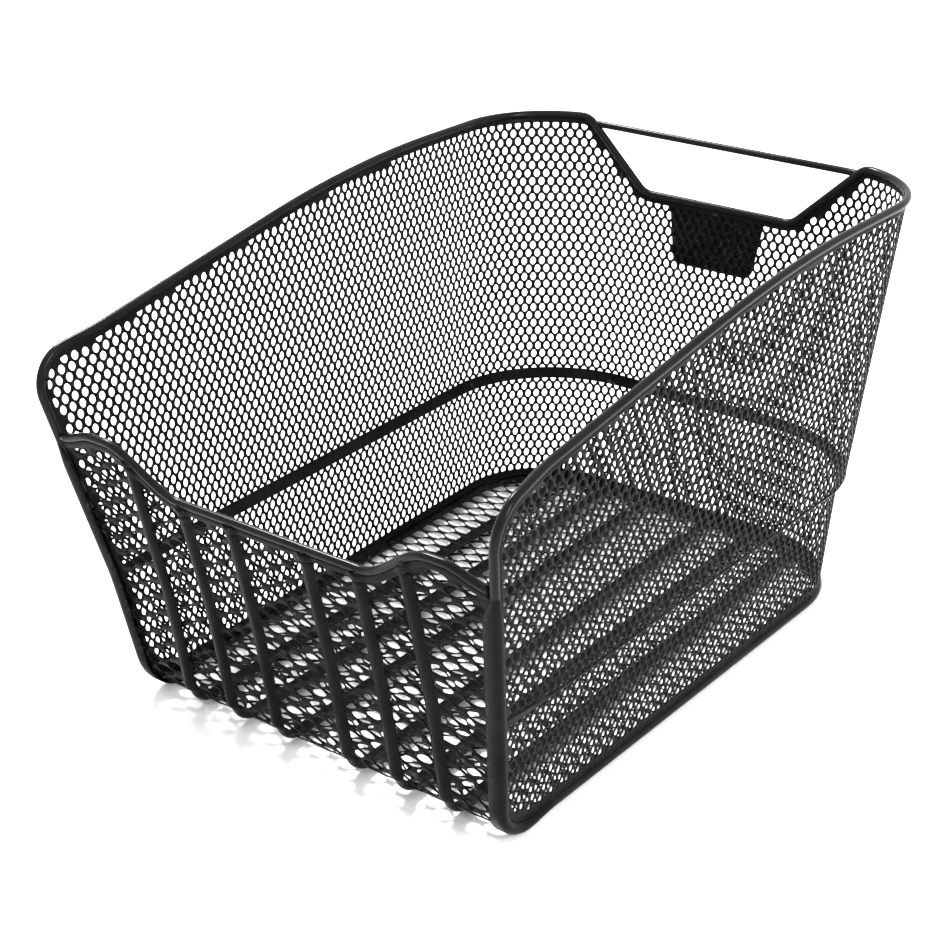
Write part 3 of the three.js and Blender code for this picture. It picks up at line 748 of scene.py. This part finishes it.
def last_by(u, heights):
    """Keeps one height for each u, the last one."""
    order = np.argsort(u, kind="stable")
    u, heights = u[order], heights[order]
    keep = np.append(np.diff(u) > 1e-7, True)
    return u[keep], heights[keep]


FRONT_POINT = upright_point(UPRIGHT_MIDDLE_Z)
TOP_U, TOP_HEIGHT = last_by(HALF_U[FRONT_POINT::-1], FRAME_HALF[FRONT_POINT::-1, 2])
FOOT_U, FOOT_HEIGHT = last_by(HALF_U[FRONT_POINT:], FRAME_HALF[FRONT_POINT:, 2])


def wall_inside(cell):
    u, z = column_u(cell), row_height(cell)
    half = np.where(u > 1, 2 - u, u)
    above_foot = z >= np.interp(half, FOOT_U, FOOT_HEIGHT)
    below_top = z <= np.interp(half, TOP_U, TOP_HEIGHT)
    return (half >= 0) & above_foot & below_top


def wall_clearance(points):
    """Distance to the wall's solid parts; the base's margin narrows to the rim's above MARGIN_CHANGE."""
    z = points[:, 2]
    margin = BASE_MARGIN + (RIM_MARGIN - BASE_MARGIN) * smooth(z / MARGIN_CHANGE - 1)
    return np.minimum(frame_distance(points) - margin, np.abs(z - LEDGE_Z) - LEDGE_HALF)


def wall_surface(places):
    """Points and normals of the wall at places u, z."""
    return numeric_normals(lambda p: wall_point(p[..., 0], p[..., 1]), places, 1e-4)


def runs_of(chosen):
    """Start and end of each run of chosen items."""
    edges = np.flatnonzero(np.diff(np.concatenate([[0], chosen.astype(int), [0]])))
    return edges.reshape(-1, 2)


U_SPAN = 0.4  # metres of wall for one unit of u, roughly


def wall_hems(start, end):
    """The rolled hem along the frame wire, between two places u."""
    path = np.stack([FRAME_U, FRAME_LOOP[:, 2]], -1)
    path = np.concatenate([path, path[:1]])
    steps = np.linalg.norm(np.diff(path * [U_SPAN, 1], axis=0), axis=1)
    path = path[np.append(steps > 1e-6, True)]
    steps = np.linalg.norm(np.diff(path * [U_SPAN, 1], axis=0), axis=1)
    along = np.concatenate([[0], np.cumsum(steps)])
    places = np.arange(0, along[-1], 2 * MM)
    path = np.stack([np.interp(places, along, path[:, k]) for k in range(2)], -1)
    metric = np.stack([wall_total(path[:, 1]), np.ones(len(path))], -1)
    lines = offset_path(path, metric, np.array([0, 0.35, 0.7, 0.86, 0.95, 1]) * HEM)
    parts = []
    for a, b in runs_of((path[:, 0] >= start) & (path[:, 0] <= end)):
        if b - a > 2:
            points, normals = wall_surface(lines[a:b])
            parts.append(skin(points, normals, np.array([0.6, 0.6, 0.6, 0.85, 0.8, 0.35]) * MM))
    return parts


def wall_ledge(start, end):
    """The smooth band of the pressed ledge, between two places u."""
    u = np.linspace(max(start, 0.002), min(end, 1.998), max(int((end - start) * 150), 8))
    z = LEDGE_Z + np.array([-2.6, -2.2, -1.4, -0.6, 0.2, 1.0, 1.8, 2.6, 3.0]) * MM
    places = np.stack(np.meshgrid(u, z, indexing="ij"), -1)
    points, normals = wall_surface(places)
    return skin(points, normals, np.array([0.2, 0.7, 0.75, 0.7, 0.7, 0.7, 0.75, 0.7, 0.2]) * MM)


def build_wall():
    centres = lattice((-6, WALL_COLUMNS + 6), (0, int(TOP_HEIGHT.max() / WALL_ROW) + 1))
    centres = centres[wall_inside(centres)]
    u = column_u(centres)
    side_run, corner_run, back_run = wall_runs(PANEL_SPLIT_Z)
    total = side_run + corner_run + back_run
    first = side_run / total
    second = (side_run + corner_run) / total
    panels = [
        ("wall_mesh_right", -0.01, first),
        ("wall_mesh_corner_right", first, second),
        ("wall_mesh_back", second, 2 - second),
        ("wall_mesh_corner_left", 2 - second, 2 - first),
        ("wall_mesh_left", 2 - first, 2.01),
    ]
    for node, start, end in panels:
        chosen = (u >= start) & (u < end)
        mesh = expanded_sheet(
            centres[chosen], wall_place, wall_inside, wall_clearance, WALL_HOLE, WALL_TILT)
        points, faces = joined([mesh, wall_ledge(start, end), *wall_hems(start, end)])
        name = node.replace("wall_mesh", "expanded_wall")
        add_piece(name, points, faces, MESH_COAT, [node])


build_wall()


# ---------------------------------------------------------------- front and floor panels

ALL_BEADS = np.array([*(-BEADS), *BEADS])
BESIDE_BEAD = 1.3 * MM  # from a bead's edge to the middle of a hole moved off it


def apron_place(cell):
    """Lattice columns run along the sheet and rows across it, so that the cells lie across."""
    return apron_point(cell[..., 1] * APRON_ROW, cell[..., 0] * APRON_SHORT)


def floor_half(y):
    """Half width of the floor at places y, negative behind it."""
    half_front, half_back, front_line, back, corner = plan_at(FLOOR_Z)
    straight_end = back - corner
    k = (y - front_line) / (straight_end - front_line)
    side = half_front + (half_back - half_front) * np.clip(k, 0, 1)
    past = np.clip((y - straight_end) / corner, 0, 1)
    rounded = half_back - corner + corner * np.sqrt(1 - past * past)
    return np.where(y > back, -1, np.where(y > straight_end, rounded, side))


def apron_inside(cell):
    x, d = cell[..., 1] * APRON_ROW, cell[..., 0] * APRON_SHORT
    y, z, _, _ = apron_base(d)
    front = (np.abs(x) <= front_edge(z)[..., 0]) & (z <= front_rim_height(x))
    return np.where(d > -BEND_RUN, front, np.abs(x) <= floor_half(y))


def apron_clearance(points):
    edge = frame_distance(points) - RIM_MARGIN
    rim = distances(points, FINE_FRONT_RIM) - RIM_MARGIN
    beads = np.abs(points[:, :1] - ALL_BEADS).min(-1) - BEAD_SOLID
    return np.minimum(np.minimum(edge, rim), beads)


def beside_beads(centres):
    """Centres of holes; those that a bead covers move to its nearer side."""
    x = centres[:, 1] * APRON_ROW
    nearest = ALL_BEADS[np.abs(x[:, None] - ALL_BEADS).argmin(-1)]
    away = np.where(x >= nearest, 1, -1)
    covered = np.abs(x - nearest) < BEAD_SOLID + MIN_ROOM
    moved = np.where(covered, nearest + away * (BEAD_SOLID + BESIDE_BEAD), x)
    return np.stack([centres[:, 0], moved / APRON_ROW], -1)


def apron_surface(places):
    """Points and normals of the front and floor at places x, d; the normals face out."""
    return numeric_normals(lambda p: apron_point(p[..., 0], p[..., 1]), places, 0.05 * MM)


def front_run(x):
    """d of the front rim at places x."""
    return (front_rim_height(x) - BEND_TOP_Z) / math.cos(FRONT_LEAN)


def bead_bands(low, high):
    """The smooth pressed beads between two places d."""
    parts = []
    across = np.array([-3.9, -3.5, -2.5, -1.3, 0, 1.3, 2.5, 3.5, 3.9]) * MM
    halves = np.array([0.15, 0.5, 0.62, 0.62, 0.62, 0.62, 0.62, 0.5, 0.15]) * MM
    for bead in ALL_BEADS:
        top = front_run(bead) - BEAD_TOP_GAP
        bottom = -320 * MM
        while floor_half(apron_base(bottom)[0]) < abs(bead) + BEAD_BACK_GAP:
            bottom += 2 * MM
        d = np.arange(max(low, bottom), min(high, top), 2.5 * MM)
        places = np.stack(np.meshgrid(d, bead + across, indexing="ij")[::-1], -1)
        points, normals = apron_surface(places)
        parts.append(skin(points, normals, halves))
    return parts


def front_hem():
    """The hem of the front panel below its rim wire, folded over towards the front."""
    x = np.linspace(FRONT_RIM[0, 0], FRONT_RIM[-1, 0], 150)
    path = np.stack([x, front_run(x)], -1)
    lines = offset_path(path, np.ones_like(path), -np.array([0.3, 0.36, 0.5, 0.7, 0.88, 1]) * FRONT_HEM)
    points, normals = apron_surface(lines)
    return skin(points, normals, np.array([0.2, 0.8, 0.9, 0.9, 0.8, 0.3]) * MM, raise_by=0.5 * MM)


def build_apron():
    columns = (int(-FLOOR_RUN / APRON_SHORT), int(RIM_FRONT_Z / APRON_SHORT))
    reach = int(TOP_PLAN[1] / APRON_ROW) + 1
    centres = lattice(columns, (-reach, reach))
    centres = centres[apron_inside(centres)]
    d = centres[:, 0] * APRON_SHORT
    middles = beside_beads(centres)
    extras = {
        "front_mesh": [front_hem(), *bead_bands(-BEND_RUN, 1)],
        "floor_mesh": bead_bands(-1, -BEND_RUN + 1 * MM),
    }
    for node, chosen in (("front_mesh", d > -BEND_RUN), ("floor_mesh", d <= -BEND_RUN)):
        mesh = expanded_sheet(
            centres[chosen], apron_place, apron_inside, apron_clearance, APRON_HOLE, APRON_TILT,
            middles[chosen])
        points, faces = joined([mesh, *extras[node]])
        name = node.replace("mesh", "expanded_sheet")
        add_piece(name, points, faces, MESH_COAT, [node])


build_apron()


# ---------------------------------------------------------------- wires and edge strips

def build_wires():
    loop = resampled(CLOSED_FRAME, 2.5 * MM)[:-1]
    points, faces = tube(loop, RIM_RADIUS, closed=True)
    add_piece("frame_wire", points, faces, WIRE_COAT, [
        "rim_wire_left", "rim_wire_right", "upright_wire_left", "upright_wire_right",
        "base_wire_left", "base_wire_right", "base_wire_back", "notch_wire"])
    points, faces = tube(resampled(FRONT_RIM, 2 * MM), FRONT_RIM_RADIUS)
    add_piece("front_rim", points, faces, WIRE_COAT, ["front_rim_wire"])
    x = np.linspace(-HANDLE_HALF, HANDLE_HALF, 60)
    points, faces = tube(back_point(x, np.full_like(x, HANDLE_Z)), HANDLE_RADIUS)
    add_piece("handle", points, faces, WIRE_COAT, ["handle_bar"])


def strip_outline(radius, flange):
    """Section of the sheet rolled round an upright, x inwards and y forwards, with a lip at its end."""
    inner = radius - STRIP_THICKNESS
    angles = np.radians(np.linspace(90, 262, 22))
    arc = np.stack([np.cos(angles), np.sin(angles)], -1)
    lip_angles = np.radians(np.linspace(60, 300, 8)) + angles[-1] - math.pi
    middle = arc[-1] * (radius - STRIP_THICKNESS / 2)
    lip = middle + np.stack([np.cos(lip_angles), np.sin(lip_angles)], -1) * STRIP_LIP
    outer_end = np.array([[flange, radius - STRIP_THICKNESS * 0.6], [flange * 0.92, radius]])
    inner_end = np.array([[flange * 0.96, inner]])
    return np.concatenate([outer_end, arc * radius, lip[::-1], arc[::-1] * inner, inner_end])


STRIP_START_RADIUS = RIM_RADIUS - 0.1 * MM
STRIP_START_FLANGE = 0.5 * MM
STRIP_LOWEST_Z = 0.1 * MM
INWARD = np.array([-1.0, 0, 0])


def build_strip(side, label):
    """The strip round one upright, which grows out of the wire at its top and ends on the base."""
    start = upright_point(STRIP_TOP_Z)
    foot_end = front_edge(BASE_RADIUS)[1] + STRIP_FOOT_RUN
    end = int(np.argmax(FRAME_HALF[start:, 1] > foot_end)) + start
    route = resampled(FRAME_HALF[start:end], 2 * MM)
    count = len(route)
    along = tangents(route)
    forward = unit(np.stack([np.zeros(count), along[:, 2], -along[:, 1]], -1))
    k = np.arange(count)
    growth = np.minimum(smooth(k / 9), smooth((count - 1 - k) / 14))
    rings = []
    for place, ahead, grown in zip(route, forward, growth):
        radius = STRIP_START_RADIUS + (STRIP_RADIUS - STRIP_START_RADIUS) * grown
        flange = STRIP_START_FLANGE + (STRIP_FLANGE - STRIP_START_FLANGE) * grown
        outline = strip_outline(radius, flange)
        rings.append(place + outline[:, :1] * INWARD + outline[:, 1:] * ahead)
    rings = np.array(rings)
    rings[..., 2] = np.maximum(rings[..., 2], STRIP_LOWEST_Z)
    rings[..., 0] *= side
    sides = rings.shape[1]
    vertices = rings.reshape(-1, 3)
    faces = [grid_faces(count, sides, False, True)]
    half = sides // 2
    j = np.arange(half - 1)
    cap = np.stack([j, j + 1, sides - 2 - j, sides - 1 - j], -1)
    faces += [cap, cap[:, ::-1] + (count - 1) * sides]
    vertices, faces = outward(vertices, faces)
    add_piece(f"rolled_edge_{label}", vertices, faces, MESH_COAT, [f"edge_strip_{label}"])


build_wires()
build_strip(1, "right")
build_strip(-1, "left")
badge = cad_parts["badge_plate"].data
badge.materials.clear()
badge.materials.append(BADGE_COAT)


# ---------------------------------------------------------------- floor, lights and camera

def build_stage():
    mesh = bpy.data.meshes.new("studio_floor")
    half = 6
    corners = [(-half, -half, 0), (half, -half, 0), (half, half, 0), (-half, half, 0)]
    mesh.from_pydata(corners, [], [(0, 1, 2, 3)])
    floor = bpy.data.objects.new("studio_floor", mesh)
    bpy.context.scene.collection.objects.link(floor)
    material, tree = material_nodes("studio_floor")
    shader = tree.nodes.new("ShaderNodeBsdfPrincipled")
    shader.inputs["Base Color"].default_value = grey(0.97)
    shader.inputs["Roughness"].default_value = 0.9
    shader.inputs["Specular IOR Level"].default_value = 0.1
    output = tree.nodes.new("ShaderNodeOutputMaterial")
    tree.links.new(shader.outputs["BSDF"], output.inputs["Surface"])
    mesh.materials.append(material)


def area_light(name, place, aim, size, power):
    light = bpy.data.lights.new(name, "AREA")
    light.shape = "RECTANGLE"
    light.size, light.size_y = size
    light.energy = power
    lamp = bpy.data.objects.new(name, light)
    lamp.location = place
    lamp.rotation_mode = "QUATERNION"
    lamp.rotation_quaternion = (Vector(aim) - Vector(place)).to_track_quat("-Z", "Y")
    bpy.context.scene.collection.objects.link(lamp)


def build_lights():
    world = bpy.data.worlds.new("studio")
    world.use_nodes = True
    background = world.node_tree.nodes["Background"]
    background.inputs["Color"].default_value = grey(1)
    background.inputs["Strength"].default_value = 1.35
    bpy.context.scene.world = world
    aim = (0, 0, 0.1)
    area_light("key", (-0.9, 0.3, 1.5), aim, size=(0.5, 0.35), power=60)
    area_light("side", (1.6, -0.2, 0.9), aim, size=(0.3, 0.8), power=22)
    bpy.context.scene.view_settings.view_transform = "Standard"


def build_camera():
    """The viewing direction, distance and lens come from fitting the basket's own outlines."""
    azimuth, elevation, roll = math.radians(35.84), math.radians(25.09), math.radians(0.79)
    distance = 1.0226
    target = Vector((-0.0308, 0.0079, 0.0817))
    level_back = Vector((math.sin(azimuth), -math.cos(azimuth), 0))
    back = level_back * math.cos(elevation) + Vector((0, 0, math.sin(elevation)))
    level_right = Vector((math.cos(azimuth), math.sin(azimuth), 0))
    level_up = back.cross(level_right)
    right = level_right * math.cos(roll) + level_up * math.sin(roll)
    up = level_up * math.cos(roll) - level_right * math.sin(roll)
    data = bpy.data.cameras.new("camera")
    data.sensor_width = 36
    data.lens = 71.607
    data.clip_start, data.clip_end = 0.05, 50
    camera = bpy.data.objects.new("camera", data)
    turn = Matrix((right, up, back)).transposed()
    camera.matrix_world = Matrix.Translation(target + back * distance) @ turn.to_4x4()
    bpy.context.scene.collection.objects.link(camera)
    bpy.context.scene.camera = camera


build_stage()
build_lights()
build_camera()
